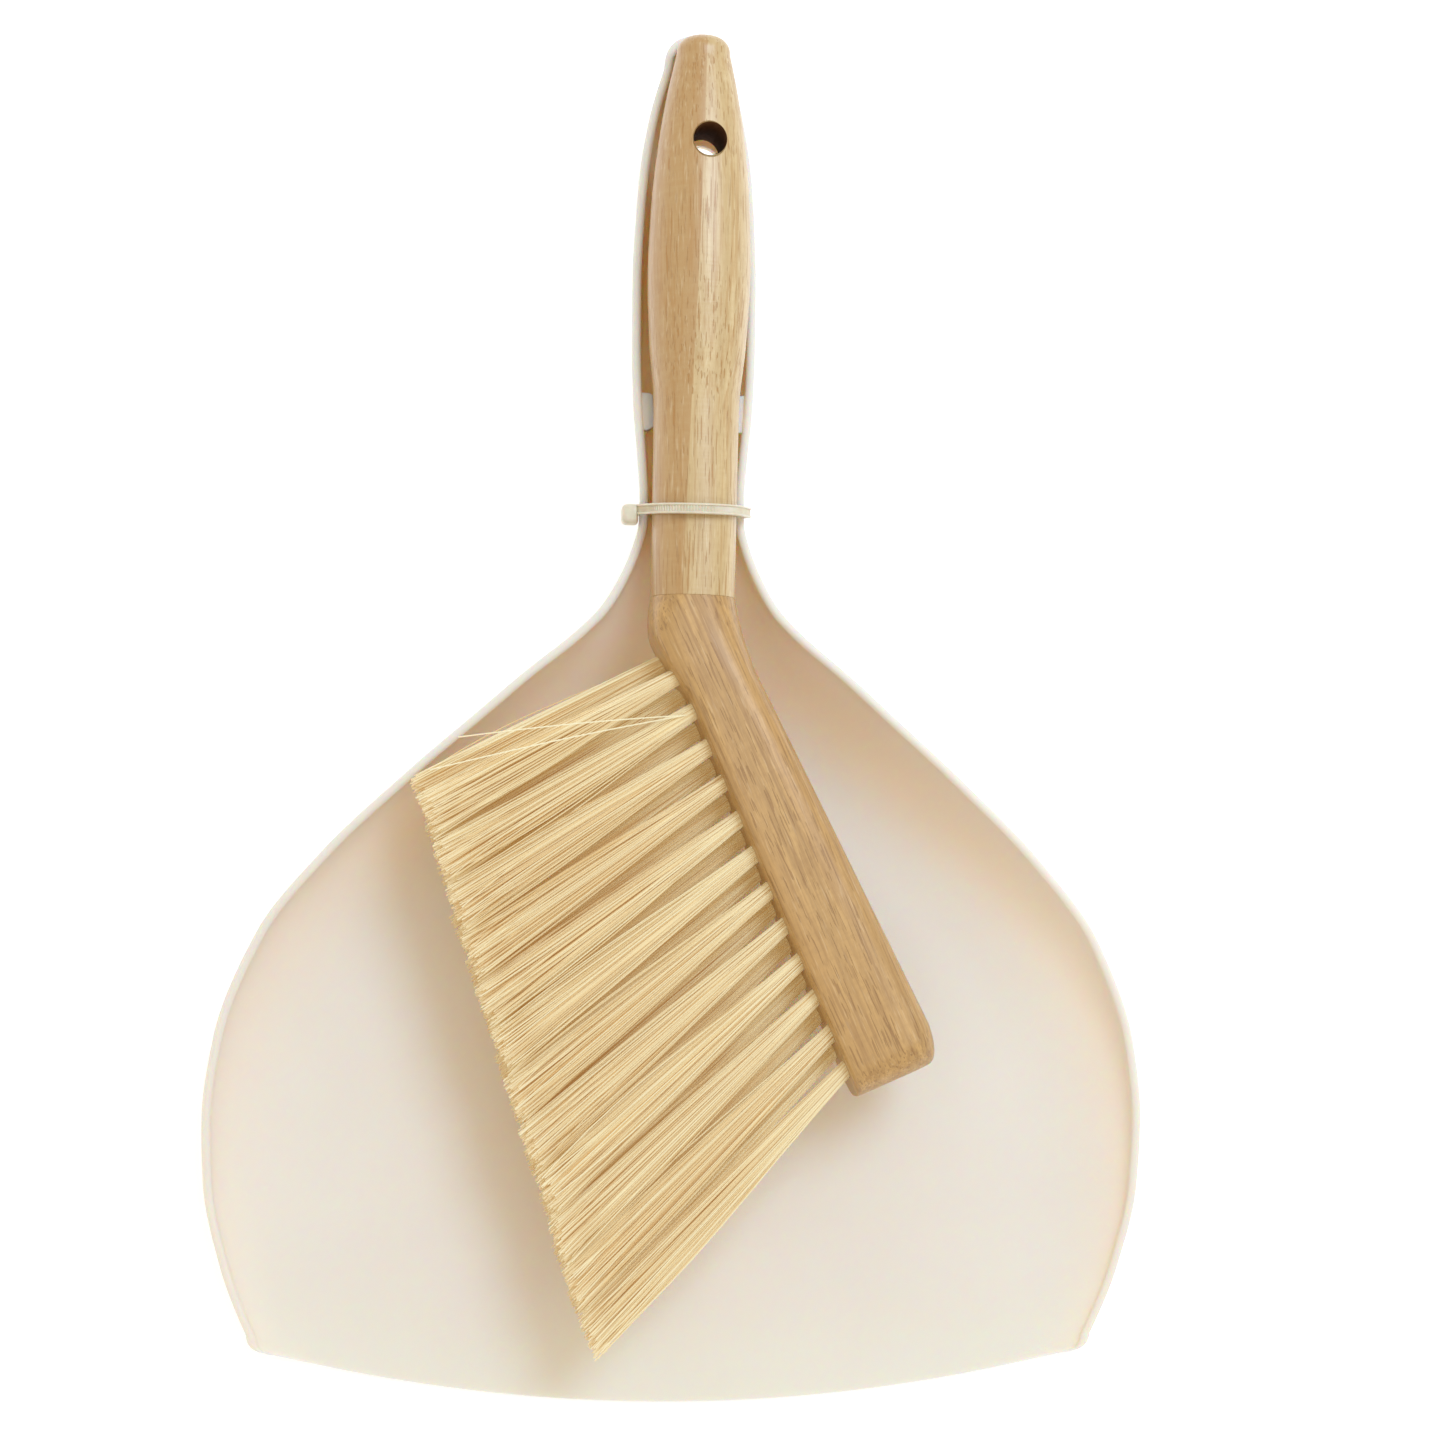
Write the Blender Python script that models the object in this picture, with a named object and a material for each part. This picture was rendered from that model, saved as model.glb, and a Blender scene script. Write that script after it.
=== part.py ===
"""Dust pan and brush set: a petal-shaped plastic pan lying on its back, with a wooden hand brush
nested in the pan's channel handle and a cable tie round both necks.

Frame: X to the right of the pan, Y from the pan's front lip to the tip of its handle, Z up.
The origin is on the surface that the pan lies on, under the middle of the set.
Lengths in the tables are millimetres and are turned into metres by MM.
"""

import math

import bmesh
import bpy
from mathutils import Vector

MM = 0.001

# ---- Pan ---------------------------------------------------------------------------------
LENGTH = 334.0
WALL = 2.2
LIP_THICKNESS = 1.2
RIM_CROWN = 0.9
HANDLE_TILT = math.radians(2.5)
FRONT_BOW = 12.4
CORNER_RADIUS = 4.0
CORNER_Y = -LENGTH / 2 + FRONT_BOW
TIP_CENTRE_Y = 158.7
TIP_HALF_WIDTH = 8.1
TIP_LENGTH = LENGTH / 2 - TIP_CENTRE_Y
TIP_ROUNDNESS = 2.3

# (y, half width over the walls)
HALF_WIDTH = [
    (-170.0, 92.5), (-152.3, 102.8), (-134.0, 110.2), (-114.0, 114.6), (-99.0, 115.2),
    (-80.0, 112.9), (-54.0, 102.9), (-34.5, 87.6), (-15.3, 67.7), (-1.0, 51.5), (9.0, 40.1),
    (19.3, 27.6), (25.3, 21.8), (32.3, 17.6), (40.0, 14.4), (46.0, 12.95), (52.0, 12.85),
    (60.5, 13.4), (75.0, 14.7), (90.0, 15.2), (105.0, 15.25), (120.0, 14.7), (133.0, 13.7),
    (146.5, 11.5), (TIP_CENTRE_Y, TIP_HALF_WIDTH),
]
# (y, height of the rim)
RIM_HEIGHT = [
    (-170.0, 3.2), (-154.0, 4.8), (-123.0, 9.0), (-97.0, 12.6), (-74.0, 16.4), (-54.0, 19.6),
    (-34.0, 22.6), (-15.0, 24.9), (0.0, 26.4), (19.0, 28.0), (52.0, 29.5), (167.0, 34.0),
]
# (y, height of the inner floor on the centre line)
FLOOR_HEIGHT = [
    (-170.0, LIP_THICKNESS), (-150.0, LIP_THICKNESS + 0.2), (-130.0, WALL), (-10.0, WALL), (0.0, 3.3),
    (10.0, 6.6), (20.0, 11.4), (30.0, 16.4), (40.0, 20.4), (50.0, 22.2), (75.0, 21.0),
    (105.0, 19.8), (135.0, 21.2), (167.0, 25.0),
]
# (y, width of the curved foot of the side wall; the channel's wall curves all the way in)
WALL_RUN = [
    (-170.0, 16.0), (-154.0, 18.0), (-110.0, 27.0), (-70.0, 32.0), (-40.0, 36.0), (-10.0, 38.0),
    (10.0, 31.0), (30.0, 20.0), (170.0, 20.0),
]
# (y, how far the middle of a rib is bowed forward)
BOW = [(-170.0, FRONT_BOW), (CORNER_Y, FRONT_BOW), (-120.0, 7.0), (-70.0, 0.0), (170.0, 0.0)]

RIB_LINES = [
    -150.0, -146.0, -139.0, -131.0, -122.0, -112.0, -101.0, -90.0, -79.0, -68.0, -58.0, -48.0, -38.0,
    -28.0, -18.0, -8.0, 0.0, 6.0, 12.0, 17.0, 22.0, 27.0, 32.0, 37.0, 42.0, 47.0, 52.0, 58.0, 65.0,
    74.0, 84.0, 95.0, 106.0, 117.0, 127.0, 136.0, 144.0, 152.0,
]
CORNER_STEPS = 4
TIP_STEPS = 12
FLAT_STEPS = 4
CURVE_STEPS = 6

TAB_Y = (68.6, 77.8)
TAB_REACH = 2.65
TAB_DEPTH = 3.2
PAN_HOLE_RADIUS = 5.0
PAN_HOLE_SIDES = 24
MOST_LEAN = 1.9  # the wall's thickness along a rib, at most, over WALL
# (y past the tab's lower or upper end, share of its reach)
TAB_LOW_ENDS = [(0.0, 0.35), (1.4, 1.0)]
TAB_HIGH_ENDS = [(-0.5, 1.0), (0.0, 0.7)]

# ---- Brush -------------------------------------------------------------------------------
JOINT_X, JOINT_Y, JOINT_Z = -0.2, 26.65, 33.0
BRUSH_YAW = math.radians(-0.45)

# (distance from the joint, half width)
HANDLE_PROFILE = [
    (0.0, 10.15), (30.0, 10.25), (47.0, 10.4), (62.0, 11.75), (80.0, 12.5), (97.0, 11.95),
    (112.0, 10.5), (124.0, 8.6), (133.5, 6.6),
]
HANDLE_LENGTH = 138.5
HANDLE_STATIONS = [
    0.0, 12.0, 24.0, 34.0, 42.0, 49.0, 56.0, 63.0, 71.0, 80.0, 89.0, 97.0, 105.0, 112.0, 118.0, 124.0,
    129.0, 133.5,
]
HANDLE_SIDES = 28
HANDLE_BLEND = 40.0  # from the joint's section to the grip's
CAP_TURNS = [0.3, 0.6, 0.9, 1.15, 1.35, 1.48]
HANDLE_FLATNESS = 0.94
JOINT_FLATNESS = 0.985
HANDLE_ROUNDNESS = 2.15
JOINT_ROUNDNESS = 2.4
HOLE_POSITION = 110.9
HOLE_OFFSET = 1.1
HOLE_RADIUS = 4.1
HOLE_FLARE = 0.8
HOLE_FLARE_DEPTH = 0.9
HOLE_SIDES = 32
HOLE_OVERRUN = 2.0
HOLE_OVERRUN_FLARE = 1.0

DOWEL_RADIUS = 3.5
DOWEL_IN_HANDLE = 20.0
DOWEL_IN_HEAD = 7.5
DOWEL_SIDES = 16
DOWEL_END_SHARE = 0.8
BORE_SIDES = 20
CLEARANCE = 0.3

BEND = math.radians(24.4)
FACE_START = (-0.9, -24.8)
FACE_LENGTH = 103.3
BLOCK_WIDTH_START = 17.9
BLOCK_WIDTH_END = 22.9
HEAD_HALF_THICKNESS = 10.1
HEAD_SIDES = 28
END_ROUNDING = 7.0
BACK_CORNER = 10.0
BACK_CORNER_DEPTH = 3.6
FACE_SQUARENESS = 12.0
BACK_SQUARENESS = 3.4
BEND_BLEND = 0.55  # how square the section has become where the block starts
END_THINNING = 0.9
# (bristle-side edge, back edge) of the sections through the bend, from the joint to the block
BEND_SECTIONS = [
    ((-10.15, 0.0), (10.15, 0.0)),
    ((-10.6, -5.0), (10.95, -4.0)),
    ((-9.9, -10.2), (12.0, -8.0)),
    ((-7.6, -14.6), (13.1, -11.5)),
    ((-4.4, -19.6), (14.3, -14.6)),
]
BLOCK_STEPS = 6
END_STEPS = 5

# ---- Bristles ----------------------------------------------------------------------------
TUFTS_PER_ROW = 12
ROOT_START, ROOT_PITCH = -6.3, 9.31
TIP_START, TIP_PITCH = 1.5, 11.7
TIP_DISTANCE_START, TIP_DISTANCE_SLOPE = 69.9, 0.101
ROW_ROOT_HEIGHT = {"front": 3.9, "back": -3.9}
ROW_TIP_HEIGHT = {"front": 4.6, "back": -6.0}
ROW_SHIFT = {"front": 0.0, "back": -0.5}
TUFT_RADIUS = 1.75
TUFT_TIP_HALF_WIDTH = 5.6
TUFT_TIP_HALF_THICKNESS = 4.2
RIM_LIFT, RIM_THINNING, RIM_NARROWING = 3.2, 1.2, 1.1
TUFT_SIDES = 10
TUFT_HOLE_RADIUS = 2.1
TUFT_HOLE_DEPTH = 8.6
TUFT_HOLE_OVERRUN = 5.0
TUFT_HOLE_SIDES = 12
TUFT_DEPTH = 5.4
ANCHOR_DEPTH = 7.5
ANCHOR_WIDTH, ANCHOR_HEIGHT, ANCHOR_WIRE = 3.0, 1.4, 0.55

# ---- Cable tie ---------------------------------------------------------------------------
TIE_Y, TIE_Z = 48.7, 30.0
TIE_LEAN = math.radians(8.0)
TIE_WIDTH, TIE_THICKNESS = 2.5, 1.0
TIE_GAP = 0.6
TIE_HEAD_SIZE = (4.9, 5.2)  # along the pan, and up
TIE_HEAD_DROP = 0.6
TIE_HEAD_Y = -1.2  # from the strap
# (distance from the strap, share of the head's section)
TIE_HEAD_RINGS = [(-0.1, 0.86), (0.5, 1.0), (2.7, 1.0), (3.8, 0.62)]
TIE_HEAD_SIDES = 12
TIE_HEAD_ROUNDNESS = 4.0
TIE_ARC_STEPS = 12

WHITE_PLASTIC = ((0.90, 0.87, 0.84), 0.45)
PALE_WOOD = ((0.72, 0.52, 0.29), 0.42)
WARM_WOOD = ((0.65, 0.42, 0.20), 0.45)
CREAM_BRISTLE = ((0.90, 0.76, 0.46), 0.5)
CLEAR_NYLON = ((0.80, 0.79, 0.72), 0.35)
STEEL_WIRE = ((0.55, 0.55, 0.56), 0.35)


def clear_scene():
    for old in list(bpy.data.objects):
        bpy.data.objects.remove(old, do_unlink=True)


def through(points):
    """A smooth curve through (x, y) points that never overshoots them (monotone cubic)."""
    xs = [p[0] for p in points]
    ys = [p[1] for p in points]
    steps = [(ys[i + 1] - ys[i]) / (xs[i + 1] - xs[i]) for i in range(len(xs) - 1)]
    slopes = [steps[0]]
    for before, after in zip(steps, steps[1:]):
        slopes.append(0.0 if before * after <= 0 else 2 * before * after / (before + after))
    slopes.append(steps[-1])

    def value(x):
        i = max(k for k in range(len(xs) - 1) if xs[k] <= x or k == 0)
        span = xs[i + 1] - xs[i]
        t = (x - xs[i]) / span
        rise = ys[i] * (1 + 2 * t) * (1 - t) ** 2 + ys[i + 1] * t * t * (3 - 2 * t)
        return rise + span * (slopes[i] * t * (1 - t) ** 2 + slopes[i + 1] * t * t * (t - 1))

    return value


half_width_at = through(HALF_WIDTH)
rim_at = through(RIM_HEIGHT)
floor_at = through(FLOOR_HEIGHT)
wall_run_at = through(WALL_RUN)
bow_at = through(BOW)
handle_half_width_at = through(HANDLE_PROFILE)


def slope_of(curve, x):
    return curve(x + 0.5) - curve(x - 0.5)


def rounded(angle, roundness):
    """A point of the unit superellipse; roundness 2 is a circle and a larger one is squarer."""
    c, s = math.cos(angle), math.sin(angle)
    power = 2 / roundness
    return math.copysign(abs(c) ** power, c), math.copysign(abs(s) ** power, s)


def material(name, look, metallic=0.0):
    made = bpy.data.materials.new(name)
    made.use_nodes = True
    shader = made.node_tree.nodes["Principled BSDF"]
    shader.inputs["Base Color"].default_value = (*look[0], 1)
    shader.inputs["Roughness"].default_value = look[1]
    shader.inputs["Metallic"].default_value = metallic
    return made


def solid(name, verts, faces, look=None, parent=None, sharp=40):
    """An object from points in millimetres, with its faces turned outwards."""
    mesh = bpy.data.meshes.new(name)
    mesh.from_pydata([Vector(v) * MM for v in verts], [], faces)
    built = bmesh.new()
    built.from_mesh(mesh)
    bmesh.ops.recalc_face_normals(built, faces=built.faces)
    built.to_mesh(mesh)
    built.free()
    made = bpy.data.objects.new(name, mesh)
    bpy.context.scene.collection.objects.link(made)
    made.parent = parent
    if look is None:
        made.hide_render = True
        made.display_type = "WIRE"
        return made
    mesh.materials.append(look)
    mesh.shade_smooth()
    mesh.set_sharp_from_angle(angle=math.radians(sharp))
    return made


def boolean(target, tool, operation):
    change = target.modifiers.new(tool.name, "BOOLEAN")
    change.operation = operation
    change.object = tool


def loft(name, rings, look=None, parent=None, sharp=40):
    """A closed solid through rings of the same number of points, capped at both ends."""
    count = len(rings[0])
    verts = [point for ring in rings for point in ring]
    faces = [tuple(range(count)), tuple(range(len(verts) - count, len(verts)))]
    for start in range(0, len(verts) - count, count):
        for k in range(count):
            after = (k + 1) % count
            faces.append((start + k, start + after, start + count + after, start + count + k))
    return solid(name, verts, faces, look, parent, sharp)


# ---- Pan ---------------------------------------------------------------------------------
def pan_stations():
    """The pan's ribs from the front to the handle: (y at the rim, half width)."""
    stations = []
    corner_width = half_width_at(CORNER_Y + CORNER_RADIUS)
    for k in range(CORNER_STEPS, 0, -1):
        turn = math.pi / 2 * k / CORNER_STEPS
        y = CORNER_Y + CORNER_RADIUS * (1 - math.sin(turn))
        stations.append((y, corner_width - CORNER_RADIUS * (1 - math.cos(turn))))
    return stations + [(y, half_width_at(y)) for y in RIB_LINES]


def rib_points(centre, rim, bow):
    """One rib of the pan's shell, from the centre line out over the rim and back underneath."""
    (cx, cy), (px, py) = centre, rim
    reach = math.hypot(px - cx, py - cy)
    across = (px - cx) / reach, (py - cy) / reach
    y = min(py, LENGTH / 2)
    lean = min(MOST_LEAN, math.hypot(1.0, slope_of(half_width_at, y))) if py <= TIP_CENTRE_Y else 1.0
    wall = WALL * lean
    inside = reach - wall
    run = min(wall_run_at(y), inside)
    foot = inside - run
    floor = floor_at(min(y, cy) if py > TIP_CENTRE_Y else y)
    under = max(0.0, floor - WALL * math.hypot(1.0, slope_of(floor_at, min(y, TIP_CENTRE_Y))))
    top = rim_at(y) - RIM_CROWN

    points = [(foot * k / FLAT_STEPS, floor) for k in range(FLAT_STEPS + 1)]
    turns = [math.pi / 2 * k / CURVE_STEPS for k in range(1, CURVE_STEPS + 1)]
    points += [(foot + run * math.sin(t), top - (top - floor) * math.cos(t)) for t in turns]
    for t in (math.pi / 4, math.pi / 2, 3 * math.pi / 4):
        points.append((inside + wall / 2 * (1 - math.cos(t)), top + RIM_CROWN * math.sin(t)))
    points += [(foot + (run + wall) * math.sin(t), top - (top - under) * math.cos(t)) for t in turns[::-1]]
    points += [(foot * k / FLAT_STEPS, under) for k in range(FLAT_STEPS, -1, -1)]
    return [
        (cx + across[0] * r, cy + across[1] * r - bow * (1 - (r / reach) ** 2), z) for r, z in points
    ]


def pan_ribs():
    """All ribs in order: up the right side, round the tip of the handle and down the left side."""
    right = [rib_points((0, y), (half, y), bow_at(y)) for y, half in pan_stations()]
    tip = []
    for k in range(TIP_STEPS + 1):
        c, s = rounded(math.pi * k / TIP_STEPS, TIP_ROUNDNESS)
        rim = TIP_HALF_WIDTH * c, TIP_CENTRE_Y + TIP_LENGTH * s
        tip.append(rib_points((0, TIP_CENTRE_Y), rim, 0.0))
    left = [[(-x, y, z) for x, y, z in rib] for rib in reversed(right)]
    return right + tip + left


def make_dustpan(look):
    verts, index, faces = [], {}, []

    def number(point):
        key = tuple(round(v, 4) for v in point)
        if key not in index:
            index[key] = len(verts)
            verts.append(point)
        return index[key]

    ribs = [[number(p) for p in rib] for rib in pan_ribs()]
    for one, other in zip(ribs, ribs[1:]):
        for k in range(len(one) - 1):
            corners = list(dict.fromkeys((one[k], one[k + 1], other[k + 1], other[k])))
            if len(corners) > 2:
                faces.append(corners)
    inner = FLAT_STEPS + CURVE_STEPS
    for rib in (ribs[0], ribs[-1]):
        for k in range(inner):
            faces.append((rib[k], rib[k + 1], rib[-2 - k], rib[-1 - k]))
        faces.append(rib[inner : len(rib) - inner])
    pan = solid("dustpan", verts, faces, look, sharp=35)
    for side, sign in (("left", -1), ("right", 1)):
        boolean(pan, snap_tab(side, sign), "UNION")
    boolean(pan, pan_hole(), "DIFFERENCE")
    return pan


def snap_tab(side, sign):
    """A small lug inside the channel wall that grips the neck of the brush handle."""
    low, high = TAB_Y
    outline = []
    ends = [(low + dy, reach) for dy, reach in TAB_LOW_ENDS]
    ends += [(high + dy, reach) for dy, reach in TAB_HIGH_ENDS]
    for y, reach in ends:
        wall = half_width_at(y) - WALL
        outline.append((sign * (wall - TAB_REACH * reach), y))
    for y in (high, low):
        outline.append((sign * (half_width_at(y) - WALL / 2), y))
    top = rim_at((low + high) / 2) - RIM_CROWN
    rings = [[(x, y, z) for x, y in outline] for z in (top - TAB_DEPTH, top)]
    return loft("tab_" + side, rings)


def circle(x, y, z, radius, sides):
    """The points of a level circle."""
    turns = [math.tau * k / sides for k in range(sides)]
    return [(x + radius * math.cos(t), y + radius * math.sin(t), z) for t in turns]


def hole_centre():
    """Where the brush handle's hanging hole lies over the pan."""
    return (
        JOINT_X + HOLE_OFFSET - HOLE_POSITION * math.sin(BRUSH_YAW),
        JOINT_Y + HOLE_POSITION * math.cos(HANDLE_TILT),
    )


def pan_hole():
    x, y = hole_centre()
    floor = floor_at(y)
    levels = (floor - 3 * WALL, floor + 2 * WALL)
    return loft("pan_hole", [circle(x, y, z, PAN_HOLE_RADIUS, PAN_HOLE_SIDES) for z in levels])


# ---- Brush -------------------------------------------------------------------------------
def handle_ring(y, half_width, blend):
    """A section of the handle; blend runs from 0 at the joint to 1 on the turned grip."""
    flatness = JOINT_FLATNESS + (HANDLE_FLATNESS - JOINT_FLATNESS) * blend
    roundness = JOINT_ROUNDNESS + (HANDLE_ROUNDNESS - JOINT_ROUNDNESS) * blend
    ring = []
    for k in range(HANDLE_SIDES):
        c, s = rounded(math.tau * k / HANDLE_SIDES, roundness)
        ring.append((half_width * c, y, half_width * flatness * s))
    return ring


def bore(name, start, end, radius, sides=BORE_SIDES):
    """A round cutter between two points."""
    start, end = Vector(start), Vector(end)
    turn = (end - start).to_track_quat("Z", "Y")
    rings = []
    for middle in (start, end):
        ring = []
        for k in range(sides):
            angle = math.tau * k / sides
            ring.append(middle + turn @ Vector((radius * math.cos(angle), radius * math.sin(angle), 0)))
        rings.append(ring)
    return loft(name, rings)


def make_handle(look, frame):
    rings = []
    for y in HANDLE_STATIONS:
        rings.append(handle_ring(y, handle_half_width_at(y), min(1.0, y / HANDLE_BLEND)))
    last = HANDLE_STATIONS[-1]
    for turn in CAP_TURNS:
        c, s = rounded(turn, JOINT_ROUNDNESS)
        rings.append(handle_ring(last + (HANDLE_LENGTH - last) * s, handle_half_width_at(last) * c, 1.0))
    handle = loft("brush_handle", rings, look, frame)

    thickness = handle_half_width_at(HOLE_POSITION) * HANDLE_FLATNESS
    outside, inside = thickness + HOLE_OVERRUN, thickness - HOLE_FLARE_DEPTH
    mouth = HOLE_RADIUS + HOLE_FLARE + HOLE_OVERRUN_FLARE
    levels = [(-outside, mouth), (-inside, HOLE_RADIUS), (inside, HOLE_RADIUS), (outside, mouth)]
    rings = [circle(HOLE_OFFSET, HOLE_POSITION, z, radius, HOLE_SIDES) for z, radius in levels]
    cutter = loft("hanging_hole", rings, parent=frame)
    boolean(handle, cutter, "DIFFERENCE")
    socket = bore(
        "handle_socket", (0, -1, 0), (0, DOWEL_IN_HANDLE + CLEARANCE, 0), DOWEL_RADIUS + CLEARANCE
    )
    socket.parent = frame
    boolean(handle, socket, "DIFFERENCE")
    return handle


def make_dowel(look, frame):
    """The dowel, hidden inside, that pins the head to the handle."""
    levels = [
        (-DOWEL_IN_HEAD, DOWEL_END_SHARE), (1 - DOWEL_IN_HEAD, 1.0),
        (DOWEL_IN_HANDLE - 1, 1.0), (DOWEL_IN_HANDLE, DOWEL_END_SHARE),
    ]
    rings = []
    for y, share in levels:
        radius = DOWEL_RADIUS * share
        rings.append([(x, y, z) for x, z, _ in circle(0, 0, 0, radius, DOWEL_SIDES)])
    return loft("handle_dowel", rings, look, frame)


def along_face(s, depth=0.0, z=0.0):
    """A point in the brush frame from s along the bristle face, depth into the wood, and z."""
    return Vector((
        FACE_START[0] + s * math.sin(BEND) + depth * math.cos(BEND),
        FACE_START[1] - s * math.cos(BEND) + depth * math.sin(BEND),
        z,
    ))


def head_ring(edge, back, half_thickness, blend):
    """A section of the head between its bristle-side edge and its back edge."""
    middle = (Vector(edge) + Vector(back)) / 2
    half = (Vector(back) - Vector(edge)) / 2
    front_square = JOINT_ROUNDNESS + (FACE_SQUARENESS - JOINT_ROUNDNESS) * blend
    back_square = JOINT_ROUNDNESS + (BACK_SQUARENESS - JOINT_ROUNDNESS) * blend
    ring = []
    for k in range(HEAD_SIDES):
        angle = math.tau * k / HEAD_SIDES
        c, s = rounded(angle, back_square if math.cos(angle) >= 0 else front_square)
        ring.append((middle.x + half.x * c, middle.y + half.y * c, half_thickness * s))
    return ring


def head_rings():
    first = (BEND_SECTIONS[0][1][0] * JOINT_FLATNESS, HEAD_HALF_THICKNESS)
    rings = []
    for k, (edge, back) in enumerate(BEND_SECTIONS):
        share = k / len(BEND_SECTIONS)
        thickness = first[0] + (first[1] - first[0]) * share
        rings.append(head_ring(edge, back, thickness, BEND_BLEND * share))
    end_start = FACE_LENGTH - BACK_CORNER
    for k in range(BLOCK_STEPS + 1):
        s = end_start * k / BLOCK_STEPS
        width = BLOCK_WIDTH_START + (BLOCK_WIDTH_END - BLOCK_WIDTH_START) * k / BLOCK_STEPS
        blend = BEND_BLEND + (1 - BEND_BLEND) * min(1.0, k / 2)
        rings.append(head_ring(along_face(s)[:2], along_face(s, width)[:2], HEAD_HALF_THICKNESS, blend))
    for k in range(1, END_STEPS + 1):
        turn = math.pi / 2 * k / END_STEPS
        s = end_start + BACK_CORNER * math.sin(turn)
        width = BLOCK_WIDTH_END - BACK_CORNER_DEPTH * (1 - math.cos(turn))
        drop = max(0.0, s - (FACE_LENGTH - END_ROUNDING)) / END_ROUNDING
        thinning = END_ROUNDING * END_THINNING * (1 - math.sqrt(1 - min(1.0, drop) ** 2))
        thickness = HEAD_HALF_THICKNESS - thinning
        rings.append(head_ring(along_face(s)[:2], along_face(s, width)[:2], thickness, 1.0))
    return rings


def tufts():
    """Name, root, tip and the tip's half width and half thickness of every tuft, in the brush frame.

    The first tufts of the back row pass over the pan's rim, so they are lifted and flattened.
    """
    found = []
    for row in ("front", "back"):
        for k in range(TUFTS_PER_ROW):
            place = k + ROW_SHIFT[row]
            over_rim = max(0.0, 1 - k / 2) if row == "back" else 0.0
            root = along_face(ROOT_START + ROOT_PITCH * place, z=ROW_ROOT_HEIGHT[row])
            tip_s = TIP_START + TIP_PITCH * place
            distance = TIP_DISTANCE_START + TIP_DISTANCE_SLOPE * (tip_s - TIP_START)
            tip = along_face(tip_s, -distance, ROW_TIP_HEIGHT[row] + RIM_LIFT * over_rim)
            half_width = TUFT_TIP_HALF_WIDTH - RIM_NARROWING * over_rim
            half_thickness = TUFT_TIP_HALF_THICKNESS - RIM_THINNING * over_rim
            found.append((f"{row}_{k + 1:02d}", root, tip, half_width, half_thickness))
    return found


def make_head(look, frame):
    head = loft("brush_head", head_rings(), look, frame, sharp=30)
    socket = bore("head_socket", (0, 1, 0), (0, -DOWEL_IN_HEAD - CLEARANCE, 0), DOWEL_RADIUS + CLEARANCE)
    socket.parent = frame
    boolean(head, socket, "DIFFERENCE")
    for name, root, tip, _, _ in tufts():
        way = (tip - root).normalized()
        start, end = root - way * TUFT_HOLE_DEPTH, root + way * TUFT_HOLE_OVERRUN
        hole = bore("hole_" + name, start, end, TUFT_HOLE_RADIUS, TUFT_HOLE_SIDES)
        hole.parent = frame
        boolean(head, hole, "DIFFERENCE")
    return head


def make_tuft(name, root, tip, tip_width, tip_thickness, look, frame):
    """A bundle of bristles as one solid: round in its hole, and spread and flattened at its tip."""
    way = (tip - root).normalized()
    spread = Vector((math.sin(BEND), -math.cos(BEND), 0))
    rings = []
    for middle, width, thickness in (
        (root - way * TUFT_DEPTH, TUFT_RADIUS, TUFT_RADIUS),
        (root, TUFT_RADIUS, TUFT_RADIUS),
        (root.lerp(tip, 0.5), (TUFT_RADIUS + tip_width) / 2, (TUFT_RADIUS + tip_thickness) / 2),
        (tip, tip_width, tip_thickness),
    ):
        ring = []
        for k in range(TUFT_SIDES):
            angle = math.tau * k / TUFT_SIDES
            up = Vector((0, 0, thickness * math.sin(angle)))
            ring.append(middle + spread * width * math.cos(angle) + up)
        rings.append(ring)
    return loft("tuft_" + name, rings, look, frame)


def make_anchor(name, root, tip, look, frame):
    """The little wire staple at the bottom of a tuft's hole, which the bristles are folded round."""
    way = (tip - root).normalized()
    across = way.orthogonal().normalized()
    normal = way.cross(across)
    half, wire = ANCHOR_WIDTH / 2, ANCHOR_WIRE
    outline = [
        (-half, 0), (-half, ANCHOR_HEIGHT), (half, ANCHOR_HEIGHT), (half, 0), (half - wire, 0),
        (half - wire, ANCHOR_HEIGHT - wire), (wire - half, ANCHOR_HEIGHT - wire), (wire - half, 0),
    ]
    base = root - way * (ANCHOR_DEPTH + ANCHOR_HEIGHT / 2)
    rings = []
    for side in (-wire / 2, wire / 2):
        rings.append([base + across * u + way * v + normal * side for u, v in outline])
    return loft("anchor_" + name, rings, look, frame)


# ---- Cable tie ---------------------------------------------------------------------------
def tie_path():
    """The strap's inner line as (x, z): under the pan's neck and over the brush's neck."""
    half = half_width_at(TIE_Y) + TIE_GAP
    rim = rim_at(TIE_Y) + TIE_GAP / 2
    depth = rim - (floor_at(TIE_Y) - WALL) + 2 * TIE_GAP
    path = []
    for k in range(TIE_ARC_STEPS + 1):
        turn = math.pi + math.pi * k / TIE_ARC_STEPS
        path.append((half * math.cos(turn), rim + depth * math.sin(turn)))
    neck = handle_half_width_at(TIE_Y - JOINT_Y) + 2 * TIE_GAP
    centre = JOINT_Z + (TIE_Y - JOINT_Y) * math.tan(HANDLE_TILT)
    away = math.hypot(half, rim - centre)
    start = math.atan2(rim - centre, half) + math.acos(neck / away)
    for k in range(TIE_ARC_STEPS + 1):
        turn = start + (math.pi - 2 * start) * k / TIE_ARC_STEPS
        path.append((neck * math.cos(turn), centre + neck * math.sin(turn)))
    return path


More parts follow.
